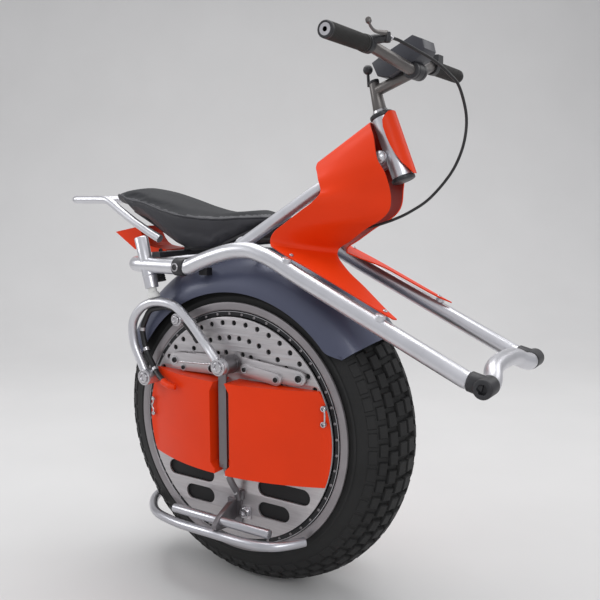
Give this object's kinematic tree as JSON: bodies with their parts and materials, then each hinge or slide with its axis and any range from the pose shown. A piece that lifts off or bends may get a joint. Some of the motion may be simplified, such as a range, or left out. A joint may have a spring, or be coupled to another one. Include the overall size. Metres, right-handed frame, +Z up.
{
  "type": "self-balancing single-wheel scooter",
  "caption": "Seated self-balancing scooter on one wide motorcycle wheel, with hub batteries, tube frame, saddle, fairing and handlebar.",
  "frame": {"origin": "on the ground under the axle, at the middle of the tread block that touches it", "axes": "+X forward, +Y to the rider's left, +Z up"},
  "size_m": [0.9539, 0.504, 1.011],
  "materials": {
    "tyre_rubber": "matt black tyre rubber",
    "rim_grey": "warm grey satin rim",
    "black_plastic": "matt black moulded parts",
    "hub_metal": "dark grey satin metal",
    "brushed_plate": "fine brushed plate",
    "orange_gloss": "gloss orange",
    "satin_tube": "satin silver tube",
    "black_steel": "black painted steel",
    "slate_gloss": "gloss slate blue",
    "seat_vinyl": "black and charcoal vinyl",
    "grip_rubber": "ribbed black rubber",
    "cable_black": "black cable sheath"
  },
  "bodies": {
    "hub": {"hub_core": "hub_metal", "side_plate_right": "brushed_plate", "side_plate_left": "brushed_plate", "battery_front_right": "orange_gloss", "battery_front_left": "orange_gloss", "battery_rear_right": "orange_gloss", "battery_rear_left": "orange_gloss", "battery_catch_front_right": "brushed_plate", "battery_catch_front_left": "brushed_plate", "battery_catch_rear_right": "brushed_plate", "battery_catch_rear_left": "brushed_plate", "centre_bar_right": "hub_metal", "centre_bar_left": "hub_metal", "arch_tube_right": "satin_tube", "arch_tube_left": "satin_tube", "strut_rod_right": "satin_tube", "strut_rod_left": "satin_tube", "brake_stay_right": "brushed_plate", "brake_stay_left": "brushed_plate", "hose_right": "cable_black", "hose_left": "cable_black", "foot_bracket_right": "hub_metal", "foot_bracket_left": "hub_metal", "foot_peg_right": "hub_metal", "foot_peg_left": "hub_metal", "guard_loop": "hub_metal"},
    "wheel": {"tyre": "tyre_rubber", "rim": "rim_grey", "drive_ring": "black_plastic"},
    "frame": {"rail_right": "satin_tube", "rail_left": "satin_tube", "collar_right": "black_plastic", "collar_left": "black_plastic", "front_elbow_right": "black_plastic", "front_elbow_left": "black_plastic", "damper_right": "black_steel", "damper_left": "black_steel", "cross_tube": "satin_tube", "rear_hoop": "satin_tube", "fender": "slate_gloss", "head_tube": "satin_tube", "head_shield": "orange_gloss", "fairing": "orange_gloss", "seat_pad": "seat_vinyl", "seat_base": "black_steel", "grab_loop": "satin_tube", "tail_piece": "orange_gloss", "brake_cable": "cable_black"},
    "steering": {"stem": "hub_metal", "handlebar": "hub_metal", "grip_right": "grip_rubber", "grip_left": "grip_rubber", "brake_perch": "black_plastic", "switch_pod": "black_plastic", "console": "black_plastic"},
    "brake_lever": {"brake_lever": "black_plastic"},
    "knob_lever": {"knob_lever": "black_plastic"},
    "brake_arm_right": {"brake_arm_right": "brushed_plate"},
    "brake_arm_left": {"brake_arm_left": "brushed_plate"}
  },
  "joints": [
    {"name": "wheel_spin", "type": "hinge", "parent": "hub", "child": "wheel", "pos_m": [0, 0, 0.32], "axis": [0, 1, 0], "continuous": true},
    {"name": "suspension", "type": "slide", "parent": "hub", "child": "frame", "axis": [0.262, 0, -0.9651], "range_m": [0, 0.008], "stiffness_N_per_m": 20000, "springref_m": -0.025},
    {"name": "steering", "type": "hinge", "parent": "frame", "child": "steering", "pos_m": [0.25, 0, 0.892], "axis": [-0.3712, 0, 0.9285], "range_deg": [-30, 30], "deforming": ["brake_cable"]},
    {"name": "brake_lever_pull", "type": "hinge", "parent": "steering", "child": "brake_lever", "pos_m": [0.313, -0.108, 0.997], "axis": [0, 0, -1], "range_deg": [0, 10], "stiffness_Nm_per_rad": 3, "springref_deg": -5.73},
    {"name": "knob_tilt", "type": "hinge", "parent": "steering", "child": "knob_lever", "pos_m": [0.226, 0, 0.94], "axis": [0, -1, 0], "range_deg": [0, 15]},
    {"name": "brake_arm_turn_right", "type": "hinge", "parent": "hub", "child": "brake_arm_right", "pos_m": [-0.134, -0.103, 0.439], "axis": [0, -1, 0], "range_deg": [0, 3]},
    {"name": "brake_arm_turn_left", "type": "hinge", "parent": "hub", "child": "brake_arm_left", "pos_m": [-0.134, 0.103, 0.439], "axis": [0, -1, 0], "range_deg": [0, 3]}
  ],
  "couplings": [
    {"joint": "brake_arm_turn_right", "follows": "brake_lever_pull", "ratio": 0.3},
    {"joint": "brake_arm_turn_left", "follows": "brake_lever_pull", "ratio": 0.3}
  ]
}
